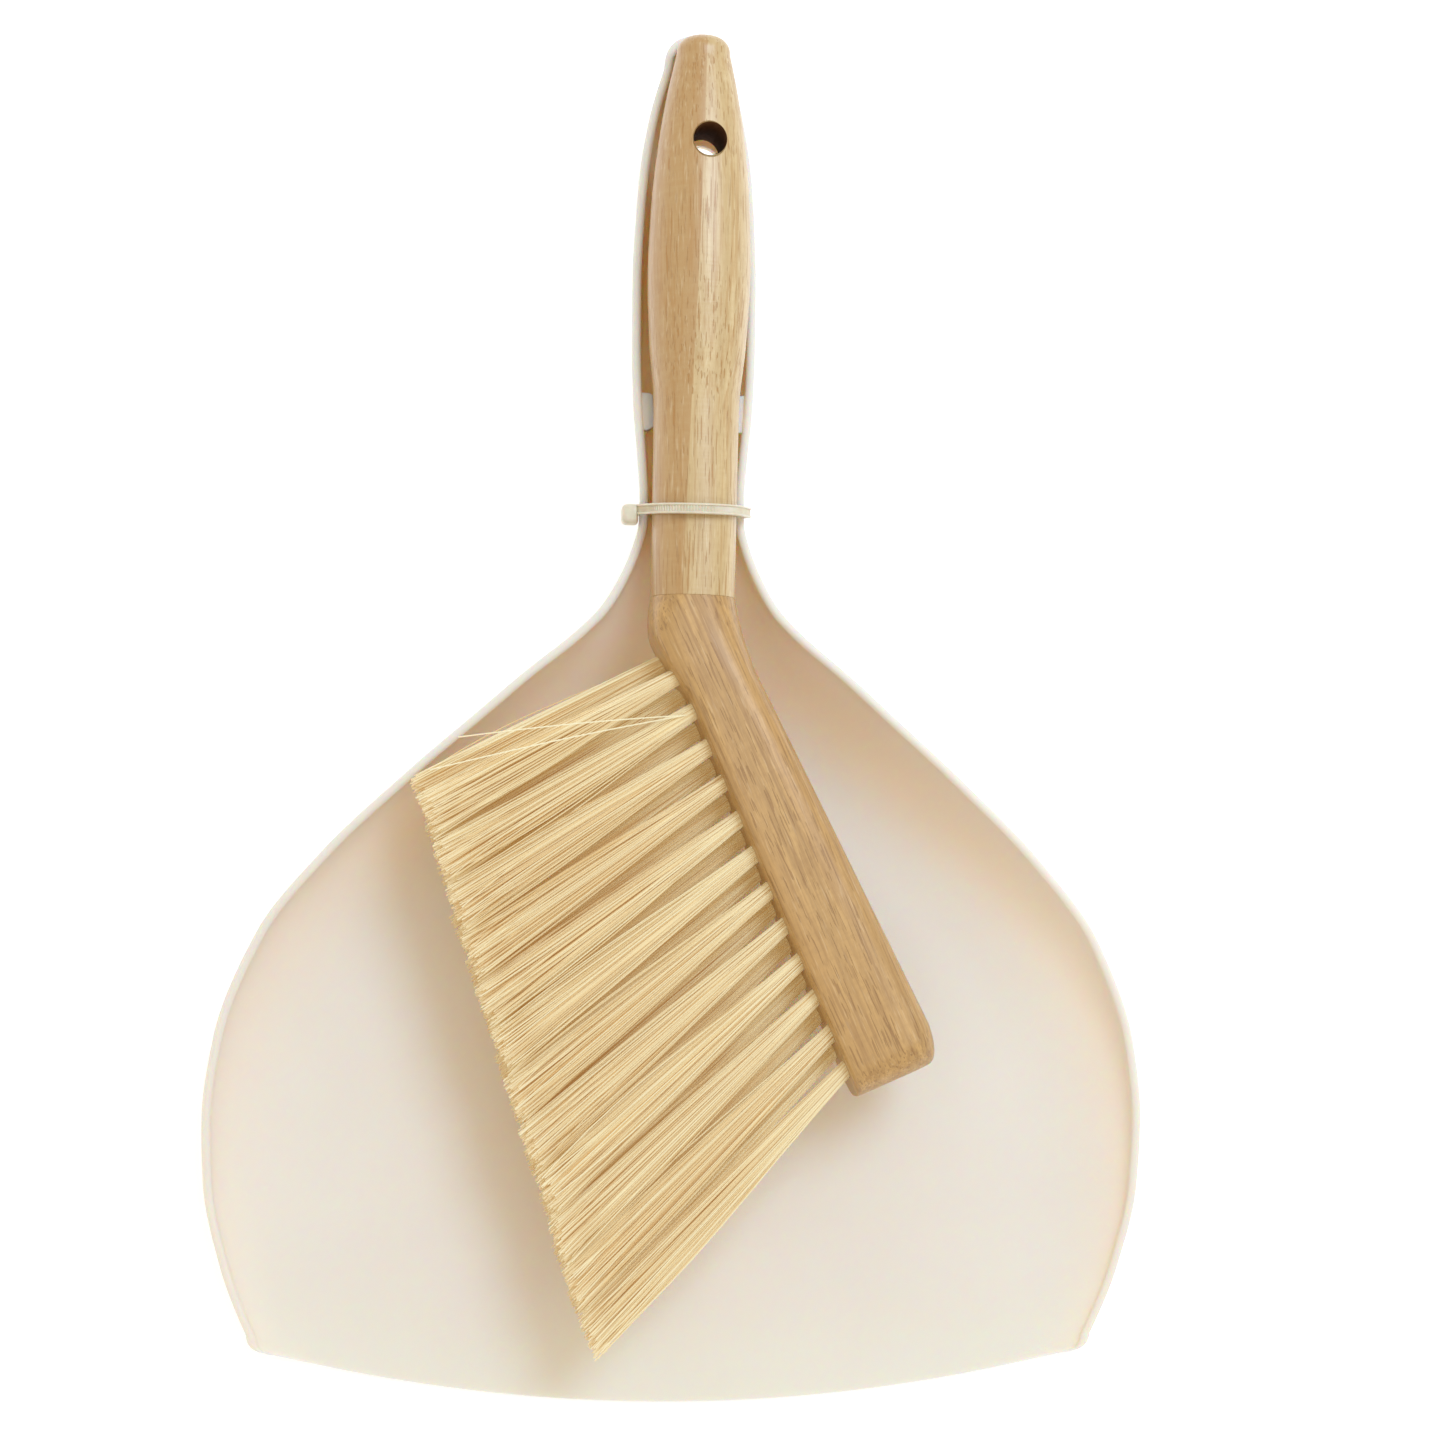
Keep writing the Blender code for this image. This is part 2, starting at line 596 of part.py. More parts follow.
def make_tie(look):
    path = tie_path()
    verts, faces = [], []
    for k, (x, z) in enumerate(path):
        before, after = path[k - 1], path[(k + 1) % len(path)]
        along = Vector((after[0] - before[0], after[1] - before[1])).normalized()
        out = Vector((along.y, -along.x)) * TIE_THICKNESS
        y = TIE_Y - (z - TIE_Z) * math.tan(TIE_LEAN)
        for grow, side in ((0, -1), (0, 1), (1, 1), (1, -1)):
            verts.append((x + out.x * grow, y + side * TIE_WIDTH / 2, z + out.y * grow))
    for k in range(len(path)):
        start, after = 4 * k, 4 * ((k + 1) % len(path))
        for c in range(4):
            d = (c + 1) % 4
            faces.append((start + c, start + d, after + d, after + c))
    tie = solid("cable_tie", verts, faces, look)

    half_y, half_z = TIE_HEAD_SIZE[0] / 2, TIE_HEAD_SIZE[1] / 2
    rings = []
    for distance, share in TIE_HEAD_RINGS:
        ring = []
        for k in range(TIE_HEAD_SIDES):
            c, s = rounded(math.tau * k / TIE_HEAD_SIDES, TIE_HEAD_ROUNDNESS)
            y = TIE_Y + TIE_HEAD_Y + half_y * share * c
            ring.append((path[0][0] - distance, y, TIE_Z - TIE_HEAD_DROP + half_z * share * s))
        rings.append(ring)
    boolean(tie, loft("tie_head", rings), "UNION")
    return tie


def main():
    clear_scene()
    plastic = material("white_plastic", WHITE_PLASTIC)
    pale = material("handle_wood", PALE_WOOD)
    warm = material("head_wood", WARM_WOOD)
    cream = material("bristle", CREAM_BRISTLE)
    nylon = material("nylon", CLEAR_NYLON)
    steel = material("anchor_wire", STEEL_WIRE, metallic=1.0)

    make_dustpan(plastic)
    make_tie(nylon)

    frame = bpy.data.objects.new("brush_frame", None)
    bpy.context.scene.collection.objects.link(frame)
    frame.location = Vector((JOINT_X, JOINT_Y, JOINT_Z)) * MM
    frame.rotation_euler = (HANDLE_TILT, 0, BRUSH_YAW)
    make_handle(pale, frame)
    make_dowel(warm, frame)
    make_head(warm, frame)
    for name, root, tip, width, thickness in tufts():
        make_tuft(name, root, tip, width, thickness, cream, frame)
        make_anchor(name, root, tip, steel, frame)


main()
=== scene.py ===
"""Looks for the dust pan and brush set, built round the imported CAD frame.

The pan, the handle, the head and the cable tie are made again as fine meshes from the same sizes as
the CAD, and every tuft is a bundle of separate filaments. Tables are in millimetres.
In the row frame, X is to the right of the pan, Y runs from its front lip to the tip of its handle,
and Z is up.
"""

import math

import bmesh
import bpy
import numpy as np
from mathutils import Matrix, Vector


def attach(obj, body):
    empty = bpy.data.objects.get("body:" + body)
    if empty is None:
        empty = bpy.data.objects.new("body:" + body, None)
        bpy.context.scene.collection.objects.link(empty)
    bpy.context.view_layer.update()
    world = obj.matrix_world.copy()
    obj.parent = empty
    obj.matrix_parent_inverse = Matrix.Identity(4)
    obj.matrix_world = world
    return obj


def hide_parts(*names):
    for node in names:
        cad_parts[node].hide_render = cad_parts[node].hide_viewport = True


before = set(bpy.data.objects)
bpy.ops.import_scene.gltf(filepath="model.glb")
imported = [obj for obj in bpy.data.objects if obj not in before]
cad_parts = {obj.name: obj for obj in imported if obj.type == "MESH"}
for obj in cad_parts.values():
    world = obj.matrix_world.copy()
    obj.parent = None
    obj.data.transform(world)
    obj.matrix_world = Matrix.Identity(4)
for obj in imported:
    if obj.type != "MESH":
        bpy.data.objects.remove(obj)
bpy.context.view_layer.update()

MM = 0.001
SEED = 20

# ---- Pan sizes ---------------------------------------------------------------------------
LENGTH = 334.0
WALL = 2.2
LIP_THICKNESS = 1.2
RIM_CROWN = 0.9
FRONT_BOW = 12.4
CORNER_RADIUS = 4.0
CORNER_Y = -LENGTH / 2 + FRONT_BOW
TIP_CENTRE_Y = 158.7
TIP_HALF_WIDTH = 8.1
TIP_LENGTH = LENGTH / 2 - TIP_CENTRE_Y
TIP_ROUNDNESS = 2.3
MOST_LEAN = 1.9

# (y, half width over the walls)
HALF_WIDTH = [
    (-170.0, 92.5), (-152.3, 102.8), (-134.0, 110.2), (-114.0, 114.6), (-99.0, 115.2),
    (-80.0, 112.9), (-54.0, 102.9), (-34.5, 87.6), (-15.3, 67.7), (-1.0, 51.5), (9.0, 40.1),
    (19.3, 27.6), (25.3, 21.8), (32.3, 17.6), (40.0, 14.4), (46.0, 12.95), (52.0, 12.85),
    (60.5, 13.4), (75.0, 14.7), (90.0, 15.2), (105.0, 15.25), (120.0, 14.7), (133.0, 13.7),
    (146.5, 11.5), (TIP_CENTRE_Y, TIP_HALF_WIDTH),
]
# (y, height of the rim)
RIM_HEIGHT = [
    (-170.0, 3.2), (-154.0, 4.8), (-123.0, 9.0), (-97.0, 12.6), (-74.0, 16.4), (-54.0, 19.6),
    (-34.0, 22.6), (-15.0, 24.9), (0.0, 26.4), (19.0, 28.0), (52.0, 29.5), (167.0, 34.0),
]
# (y, height of the inner floor on the centre line)
FLOOR_HEIGHT = [
    (-170.0, LIP_THICKNESS), (-150.0, LIP_THICKNESS + 0.2), (-130.0, WALL), (-10.0, WALL), (0.0, 3.3),
    (10.0, 6.6), (20.0, 11.4), (30.0, 16.4), (40.0, 20.4), (50.0, 22.2), (75.0, 21.0),
    (105.0, 19.8), (135.0, 21.2), (167.0, 25.0),
]
# (y, width of the curved foot of the side wall)
WALL_RUN = [
    (-170.0, 16.0), (-154.0, 18.0), (-110.0, 27.0), (-70.0, 32.0), (-40.0, 36.0), (-10.0, 38.0),
    (10.0, 31.0), (30.0, 20.0), (170.0, 20.0),
]
# (y, how far the middle of a rib is bowed forward)
BOW = [(-170.0, FRONT_BOW), (CORNER_Y, FRONT_BOW), (-120.0, 7.0), (-70.0, 0.0), (170.0, 0.0)]

RIB_START, RIB_END, RIB_STEP = -150.5, 157.0, 1.5
CORNER_STEPS = 10
TIP_STEPS = 48
FLAT_STEPS = 16
CURVE_STEPS = 24
CROWN_STEPS = 8

TAB_Y = (68.6, 77.8)
TAB_REACH = 2.65
TAB_DEPTH = 3.2
TAB_LOW_ENDS = [(0.0, 0.35), (0.7, 0.8), (1.4, 1.0)]
TAB_HIGH_ENDS = [(-0.5, 1.0), (0.0, 0.7)]
PAN_HOLE_RADIUS = 5.0
PAN_HOLE_SIDES = 64

# ---- Brush sizes -------------------------------------------------------------------------
JOINT = Vector((-0.2, 26.65, 33.0))
HANDLE_TILT = math.radians(2.5)
BRUSH_YAW = math.radians(-0.45)
BRUSH_TURN = Matrix.Rotation(BRUSH_YAW, 4, "Z") @ Matrix.Rotation(HANDLE_TILT, 4, "X")
BRUSH = Matrix.Translation(JOINT) @ BRUSH_TURN

# (distance from the joint, half width)
HANDLE_PROFILE = [
    (0.0, 10.15), (30.0, 10.25), (47.0, 10.4), (62.0, 11.75), (80.0, 12.5), (97.0, 11.95),
    (112.0, 10.5), (124.0, 8.6), (133.5, 6.6),
]
HANDLE_LENGTH = 138.5
HANDLE_STEP = 1.5
HANDLE_SIDES = 96
HANDLE_BLEND = 40.0
HANDLE_FLATNESS, JOINT_FLATNESS = 0.94, 0.985
HANDLE_ROUNDNESS, JOINT_ROUNDNESS = 2.15, 2.4
HOLE_POSITION = 110.9
HOLE_OFFSET = 1.1
HOLE_RADIUS = 4.1
HOLE_FLARE = 0.8
HOLE_FLARE_DEPTH = 0.9
HOLE_OVERRUN, HOLE_OVERRUN_FLARE = 2.0, 1.0
HOLE_SIDES = 96
JOINT_BEVEL = 0.12
CAP_STEPS = 15
CAP_TURN = 1.5  # radians, just short of a right angle, so that the tip stays open for its cap

BEND = math.radians(24.4)
FACE_START = (-0.9, -24.8)
FACE_LENGTH = 103.3
BLOCK_WIDTH_START, BLOCK_WIDTH_END = 17.9, 22.9
HEAD_HALF_THICKNESS = 10.1
END_ROUNDING = 7.0
END_THINNING = 0.9
BACK_CORNER = 10.0
BACK_CORNER_DEPTH = 3.6
FACE_SQUARENESS, BACK_SQUARENESS = 12.0, 3.4
BEND_BLEND = 0.55
# (bristle-side edge, back edge) of the sections through the bend
BEND_SECTIONS = [
    ((-10.15, 0.0), (10.15, 0.0)),
    ((-10.6, -5.0), (10.95, -4.0)),
    ((-9.9, -10.2), (12.0, -8.0)),
    ((-7.6, -14.6), (13.1, -11.5)),
    ((-4.4, -19.6), (14.3, -14.6)),
]
BLOCK_STEPS, END_STEPS = 12, 8
HEAD_SIDES = 120
HEAD_REFINE = 4

# ---- Bristle sizes -----------------------------------------------------------------------
TUFTS_PER_ROW = 12
ROOT_START, ROOT_PITCH = -6.3, 9.31
TIP_START, TIP_PITCH = 1.5, 11.7
TIP_DISTANCE_START, TIP_DISTANCE_SLOPE = 69.9, 0.101
ROW_ROOT_HEIGHT = {"front": 3.9, "back": -3.9}
ROW_TIP_HEIGHT = {"front": 4.6, "back": -6.0}
ROW_SHIFT = {"front": 0.0, "back": -0.5}
RIM_TUFTS = 2  # of the back row, which lie over the pan's rim
RIM_LIFT, RIM_THINNING, RIM_NARROWING = 3.2, 1.2, 1.1
TUFT_TIP_HALF_WIDTH = 5.6
TUFT_TIP_HALF_THICKNESS = 4.2
TUFT_HOLE_RADIUS, TUFT_HOLE_DEPTH = 2.1, 8.6
TUFT_HOLE_OVERRUN = 5.0
TUFT_HOLE_SIDES = 24
FILAMENTS = 220
FILAMENT_SIDES, FILAMENT_STEPS = 4, 12
FILAMENT_RADIUS = (0.11, 0.155)
FILAMENT_DEPTH = 4.5
UNEVEN = 3.2
TUFT_SHORTENING = 0.9
PACKED_RADIUS = TUFT_HOLE_RADIUS * 0.93
DRIFT = 0.10
CURL = (0.75, 0.45)  # across and up
MOST_CURL = 3.5
SPREAD_POWER = 0.95
# each filament's tone: a random share, plus painted shade that darkens the filaments nearer the middle of a
# bundle
RANDOM_TONE, BUNDLE_PAINTED_SHADE = 0.4, 0.6
NOT_ALONG = (0.31, 0.24, 0.92)  # a way that no filament runs
# tuft: (end in the row frame, rise of the middle) of its stray filaments
STRAYS = {"front_02": [((-56.4, -8.6, 38.0), 5.0), ((-62.9, -16.5, 38.0), 6.0)]}

# ---- Cable tie sizes ---------------------------------------------------------------------
TIE_Y, TIE_Z = 48.7, 30.0
TIE_LEAN = math.radians(8.0)
TIE_WIDTH, TIE_THICKNESS = 2.5, 1.0
TIE_GAP = 0.6
TOOTH_PITCH = 0.7
TIE_HEAD_SIZE = (4.9, 5.2)
TIE_HEAD_DROP = 0.6
TIE_HEAD_Y = -1.2  # from the strap
TIE_HEAD_SIDES, TIE_HEAD_ROUNDNESS = 48, 4.0
# (distance from the strap, share of the full size) of the sections of the locking head
TIE_HEAD_RINGS = [
    (-0.1, 0.82), (0.15, 0.93), (0.5, 1.0), (2.6, 1.0), (3.2, 0.93), (3.6, 0.8), (3.8, 0.6),
]
TIE_STEPS = 80
TOOTH_DIPS = (0.0, 0.10, 0.22, 0.34)
TIE_EDGE, TIE_RAIL, TIE_RAIL_FOOT = 0.15, 0.42, 0.55
TIE_EDGE_SHARE, TIE_TOOTH_SHARE = 0.85, 0.8

# ---- Stage and looks ---------------------------------------------------------------------
CAMERA = Vector((-89.07, -91.75, 800.0))
AIM = Vector((8.93, -1.75, 20.0))
CAMERA_ROLL = math.radians(0.35)
LENS, SENSOR = 80.46, 36.0
FLOOR_REACH = 40.0  # metres
FLOOR_DROP = 0.0003  # metres, so that the pan and the floor don't share a plane
# name, place, target, size, power, colour; metres and watts
LIGHTS = [
    ("key", (0.55, 0.75, 1.7), (0.0, 0.0, 0.0), 0.9, 14.0, (0.80, 0.97, 1.24)),
]
WORLD_COLOUR = (1.0, 0.935, 0.84, 1)
WORLD_STRENGTH = 0.82
FLOOR_GLOW = 0.38
PLASTIC_COLOURS = [(0.723, 0.710, 0.672), (0.753, 0.740, 0.702)]
# the lamination's place at y = 0 and its slope, in metres
LAMINATION = (-0.0047, 0.036)
HANDLE_COLOURS = {
    "dark": (0.55, 0.39, 0.18), "light": (0.69, 0.53, 0.28), "warm": (0.60, 0.43, 0.19),
    "strip": (0.47, 0.27, 0.10), "pore": (0.43, 0.205, 0.045), "glint": (0.82, 0.70, 0.46),
    "lines": 0.32, "depth": 0.75,
}
HEAD_COLOURS = {
    "dark": (0.43, 0.25, 0.085), "light": (0.62, 0.38, 0.135), "warm": (0.53, 0.295, 0.09),
    "pore": (0.30, 0.145, 0.04), "glint": (0.76, 0.57, 0.33),
    "lines": 0.36, "depth": 0.60,
}
# painted shade: very dark colours for the walls of the holes, standing in for the shade inside them
BORE_PAINTED_SHADE = [(0.11, 0.045, 0.018), (0.16, 0.07, 0.028)]
# amber, cream and tip colours; the amber one also serves as the painted shade inside each bundle
BRISTLE_COLOURS = [(0.72, 0.50, 0.21), (0.87, 0.84, 0.60), (0.91, 0.89, 0.70)]
# painted glow: the bristles give off a faint amber light, standing in for light passing through them
PAINTED_GLOW_COLOUR = (1.0, 0.58, 0.20, 1)
FILAMENT_PAINTED_GLOW = 0.09
NYLON_COLOURS = [(0.76, 0.70, 0.54), (0.84, 0.79, 0.63)]
STEEL_COLOURS = [(0.45, 0.45, 0.46), (0.62, 0.62, 0.63)]
FLOOR_COLOURS = [(0.89, 0.89, 0.89), (0.91, 0.91, 0.91)]


def through(points):
    """A smooth curve through (x, y) points that never overshoots them (monotone cubic)."""
    xs = [p[0] for p in points]
    ys = [p[1] for p in points]
    steps = [(ys[i + 1] - ys[i]) / (xs[i + 1] - xs[i]) for i in range(len(xs) - 1)]
    slopes = [steps[0]]
    for before, after in zip(steps, steps[1:]):
        slopes.append(0.0 if before * after <= 0 else 2 * before * after / (before + after))
    slopes.append(steps[-1])

    def value(x):
        i = max(k for k in range(len(xs) - 1) if xs[k] <= x or k == 0)
        span = xs[i + 1] - xs[i]
        t = (x - xs[i]) / span
        rise = ys[i] * (1 + 2 * t) * (1 - t) ** 2 + ys[i + 1] * t * t * (3 - 2 * t)
        return rise + span * (slopes[i] * t * (1 - t) ** 2 + slopes[i + 1] * t * t * (t - 1))

    return value


half_width_at = through(HALF_WIDTH)
rim_at = through(RIM_HEIGHT)
floor_at = through(FLOOR_HEIGHT)
wall_run_at = through(WALL_RUN)
bow_at = through(BOW)
handle_half_width_at = through(HANDLE_PROFILE)


def slope_of(curve, x):
    return curve(x + 0.5) - curve(x - 0.5)


def rounded(angle, roundness):
    """A point of the unit superellipse; roundness 2 is a circle and a larger one is squarer."""
    c, s = math.cos(angle), math.sin(angle)
    power = 2 / roundness
    return math.copysign(abs(c) ** power, c), math.copysign(abs(s) ** power, s)


def solid(name, verts, faces, look=None, matrix=None, sharp=35):
    """A closed mesh from points in millimetres, put in the row frame."""
    mesh = bpy.data.meshes.new(name)
    mesh.from_pydata([(matrix @ Vector(v) if matrix else Vector(v)) * MM for v in verts], [], faces)
    built = bmesh.new()
    built.from_mesh(mesh)
    bmesh.ops.recalc_face_normals(built, faces=built.faces)
    built.to_mesh(mesh)
    built.free()
    made = bpy.data.objects.new(name, mesh)
    bpy.context.scene.collection.objects.link(made)
    if look:
        mesh.materials.append(look)
    finish_shading(made, sharp)
    return made


def finish_shading(made, sharp):
    made.data.shade_smooth()
    made.data.set_sharp_from_angle(angle=math.radians(sharp))


def loft(name, rings, look=None, matrix=None, sharp=35):
    """A closed solid through rings of the same number of points, capped at both ends."""
    count = len(rings[0])
    verts = [point for ring in rings for point in ring]
    faces = [tuple(range(count)), tuple(range(len(verts) - count, len(verts)))]
    for start in range(0, len(verts) - count, count):
        for k in range(count):
            after = (k + 1) % count
            faces.append((start + k, start + after, start + count + after, start + count + k))
    return solid(name, verts, faces, look, matrix, sharp)


def cut(target, tools, operation="DIFFERENCE", sharp=35):
    """Applies Booleans to the mesh and removes the tools."""
    for tool in tools:
        change = target.modifiers.new(tool.name, "BOOLEAN")
        change.operation = operation
        change.object = tool
        change.material_mode = "TRANSFER"
    graph = bpy.context.evaluated_depsgraph_get()
    done = bpy.data.meshes.new_from_object(target.evaluated_get(graph))
    target.modifiers.clear()
    target.data = done
    for tool in tools:
        bpy.data.objects.remove(tool, do_unlink=True)
    finish_shading(target, sharp)


def circle(x, y, z, radius, sides):
    turns = [math.tau * k / sides for k in range(sides)]
    return [(x + radius * math.cos(t), y + radius * math.sin(t), z) for t in turns]


def settle(piece, body, slot, *nodes):
    """The piece rides on a body and stands for CAD nodes; slot is not used."""
    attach(piece, body)
    if nodes:
        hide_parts(*nodes)


# ---- Materials ---------------------------------------------------------------------------
class Look:
    """A procedural material: nodes are added by name and joined by plain calls."""

    def __init__(self, name):
        self.made = bpy.data.materials.new(name)
        self.made.use_nodes = True
        self.tree = self.made.node_tree
        self.shader = self.tree.nodes["Principled BSDF"]
        self.place = self.node("ShaderNodeTexCoord").outputs["Object"]

    def node(self, kind, inputs=None, **settings):
        made = self.tree.nodes.new(kind)
        for key, value in settings.items():
            setattr(made, key, value)
        for key, value in (inputs or {}).items():
            self.put(made.inputs[key], value)
        return made

    def put(self, socket, value):
        if isinstance(value, bpy.types.NodeSocket):
            self.tree.links.new(value, socket)
        else:
            socket.default_value = value

    def mapped(self, scale, turn=0.0):
        """The place in the row frame, turned about Z and scaled, so that Y runs along the grain."""
        turned = self.node("ShaderNodeMapping", {"Vector": self.place, "Rotation": (0, 0, turn)})
        return self.node("ShaderNodeMapping", {"Vector": turned.outputs[0], "Scale": scale}).outputs[0]

    def noise(self, scale, detail=2.0, turn=0.0, rough=0.5, twist=0.0):
        made = self.node("ShaderNodeTexNoise", {
            "Vector": self.mapped(scale, turn), "Scale": 1.0, "Detail": detail, "Roughness": rough,
            "Distortion": twist,
        })
        return made.outputs["Fac"]

    def span(self, value, low, high, to_low=0.0, to_high=1.0):
        return self.node("ShaderNodeMapRange", {
            "Value": value, "From Min": low, "From Max": high, "To Min": to_low, "To Max": to_high,
        }).outputs["Result"]

    def math(self, operation, *values):
        return self.node("ShaderNodeMath", dict(enumerate(values)), operation=operation).outputs[0]

    def mix(self, factor, a, b, blend="MIX"):
        made = self.node("ShaderNodeMix", data_type="RGBA", blend_type=blend)
        self.put(made.inputs[0], factor)
        for socket, value in ((made.inputs[6], a), (made.inputs[7], b)):
            self.put(socket, value if isinstance(value, bpy.types.NodeSocket) else (*value, 1))
        return made.outputs[2]

    def bump(self, *layers):
        """Bump from (height, depth in metres) layers, one on another."""
        normal = None
        for height, depth in layers:
            made = self.node("ShaderNodeBump", {"Height": height, "Strength": 1.0, "Distance": depth})
            if normal:
                self.put(made.inputs["Normal"], normal)
            normal = made.outputs[0]
        self.put(self.shader.inputs["Normal"], normal)

    def set(self, **values):
        for key, value in values.items():
            self.put(self.shader.inputs[key.replace("_", " ")], value)


def plastic_look():
    """Cream white moulded polypropylene: satin, slightly warm, with a fine orange-peel surface."""
    look = Look("pan_plastic")
    cloudy = look.noise((14, 14, 14), 3)
    look.set(Base_Color=look.mix(look.span(cloudy, 0.3, 0.7), PLASTIC_COLOURS[0], PLASTIC_COLOURS[1]))
    look.set(Roughness=look.span(look.noise((90, 90, 90), 2), 0.3, 0.7, 0.40, 0.50))
    look.set(Subsurface_Weight=0.7, Subsurface_Scale=0.008, IOR=1.49, Specular_IOR_Level=0.4)
    look.shader.inputs["Subsurface Radius"].default_value = (1.0, 0.48, 0.18)
    look.bump((look.noise((1600, 1600, 1600), 2), 0.00002), (look.noise((30, 30, 30), 1), 0.0002))
    return look.made


def wood_look(name, colours, turn, ripple):
    """Lacquered rubberwood with long pores, soft growth bands and fine figure across the grain."""
    look = Look(name)
    bands = look.noise((420, 9, 420), 4, turn, 0.6, 0.1)
    broad = look.noise((90, 6, 90), 2, turn)
    tone = look.mix(look.span(bands, 0.36, 0.64), colours["dark"], colours["light"])
    tone = look.mix(look.span(broad, 0.40, 0.65, 0.0, 0.6), tone, colours["warm"])
    if "strip" in colours:
        side = look.node("ShaderNodeSeparateXYZ", {"Vector": look.place})
        line = look.math("MULTIPLY_ADD", side.outputs[1], LAMINATION[1], LAMINATION[0])
        left = look.span(look.math("SUBTRACT", side.outputs[0], line), 0.0001, -0.0001)
        tone = look.mix(look.math("MULTIPLY", left, 0.8), tone, colours["strip"])
    figure = look.noise((160, 900, 160), 2, turn, 0.5, 0.1)
    tone = look.mix(look.span(figure, 0.42, 0.70, 0.0, 0.28), tone, colours["dark"])
    lines = look.span(look.noise((1100, 14, 1100), 2, turn, 0.5), 0.53, 0.62)
    pores = look.span(look.noise((2600, 80, 2600), 1, turn, 0.5), 0.625, 0.655)
    fine = look.span(look.noise((3600, 330, 3600), 1, turn, 0.5), 0.56, 0.66)
    glints = look.span(look.noise((1900, 120, 1900), 2, turn, 0.6), 0.58, 0.70)
    tone = look.mix(look.math("MULTIPLY", glints, 0.30), tone, colours["glint"])
    tone = look.mix(look.math("MULTIPLY", lines, colours["lines"]), tone, colours["pore"])
    tone = look.mix(look.math("MULTIPLY", fine, 0.20), tone, colours["pore"])
    tone = look.mix(look.math("MULTIPLY", pores, colours["depth"]), tone, colours["pore"])
    look.set(Base_Color=tone)
    look.set(Roughness=look.span(bands, 0.3, 0.7, 0.46, 0.36), Coat_Weight=0.5, Coat_Roughness=0.30)
    look.set(Specular_IOR_Level=0.5)
    layers = [(look.span(pores, 0.0, 1.0, 1.0, 0.0), 0.00006), (bands, 0.00005)]
    if ripple:
        layers.append((look.noise((160, 1400, 160), 1, turn), 0.00004))
    look.bump(*layers)
    return look.made


def bore_look():
    """The wall of a drilled hole, painted very dark as the shade inside the hole, with its turning marks."""
    look = Look("bore_wood_painted_shade")
    look.set(Base_Color=look.mix(look.noise((900, 900, 1800), 2), BORE_PAINTED_SHADE[0], BORE_PAINTED_SHADE[1]))
    look.set(Roughness=look.span(look.noise((700, 700, 700)), 0.3, 0.7, 0.85, 0.95), Specular_IOR_Level=0.05)
    look.bump((look.noise((200, 200, 2600), 1), 0.00006))
    return look.made


def bristle_look():
    """Cream filament with its own random tone, paler at its tip; painted shade makes it darker and more
    amber towards the middle of its bundle, and a faint amber emission is a painted glow.
    """
    look = Look("bristle")
    tone_and_shade = look.node("ShaderNodeAttribute", attribute_name="tone").outputs["Fac"]
    along = look.node("ShaderNodeAttribute", attribute_name="along").outputs["Fac"]
    tone = look.mix(tone_and_shade, BRISTLE_COLOURS[0], BRISTLE_COLOURS[1])
    tone = look.mix(look.span(along, 0.92, 1.0, 0.0, 0.25), tone, BRISTLE_COLOURS[2])
    look.set(Base_Color=tone, Roughness=look.span(tone_and_shade, 0.0, 1.0, 0.45, 0.58))
    # painted glow: a faint amber emission on every filament
    look.set(Specular_IOR_Level=0.35, Emission_Color=PAINTED_GLOW_COLOUR, Emission_Strength=FILAMENT_PAINTED_GLOW)
    look.bump((look.noise((1200, 1200, 1200), 1), 0.00001))
    return look.made


def nylon_look():
    """Natural nylon: milky and half clear."""
    look = Look("tie_nylon")
    milk = look.noise((500, 500, 500), 2)
    look.set(Base_Color=look.mix(look.span(milk, 0.3, 0.7), NYLON_COLOURS[0], NYLON_COLOURS[1]))
    look.set(Roughness=look.span(milk, 0.3, 0.7, 0.28, 0.40), IOR=1.45, Transmission_Weight=0.12)
    look.set(Subsurface_Weight=0.3, Subsurface_Scale=0.0008)
    look.bump((look.noise((2500, 2500, 2500), 1), 0.00001))
    return look.made


def steel_look():
    look = Look("anchor_wire")
    streaks = look.noise((3000, 3000, 3000), 2)
    look.set(Base_Color=look.mix(streaks, STEEL_COLOURS[0], STEEL_COLOURS[1]), Metallic=1.0)
    look.set(Roughness=look.span(streaks, 0.3, 0.7, 0.3, 0.45))
    look.bump((streaks, 0.00001))
    return look.made


def floor_look():
    look = Look("floor_paper")
    grain = look.noise((300, 300, 300), 2)
    look.set(Base_Color=look.mix(grain, FLOOR_COLOURS[0], FLOOR_COLOURS[1]), Roughness=0.9)
    look.set(Specular_IOR_Level=0.1, Emission_Color=(1, 1, 1, 1), Emission_Strength=FLOOR_GLOW)
    return look.made


# ---- Pan pieces --------------------------------------------------------------------------
def pan_stations():
    """The pan's ribs from the front to the handle: (y at the rim, half width)."""
    stations = []
    corner_width = half_width_at(CORNER_Y + CORNER_RADIUS)
    for k in range(CORNER_STEPS, 0, -1):
        turn = math.pi / 2 * k / CORNER_STEPS
        y = CORNER_Y + CORNER_RADIUS * (1 - math.sin(turn))
        stations.append((y, corner_width - CORNER_RADIUS * (1 - math.cos(turn))))
    count = round((RIB_END - RIB_START) / RIB_STEP)
    lines = [RIB_START + (RIB_END - RIB_START) * k / count for k in range(count + 1)]
    return stations + [(y, half_width_at(y)) for y in lines]


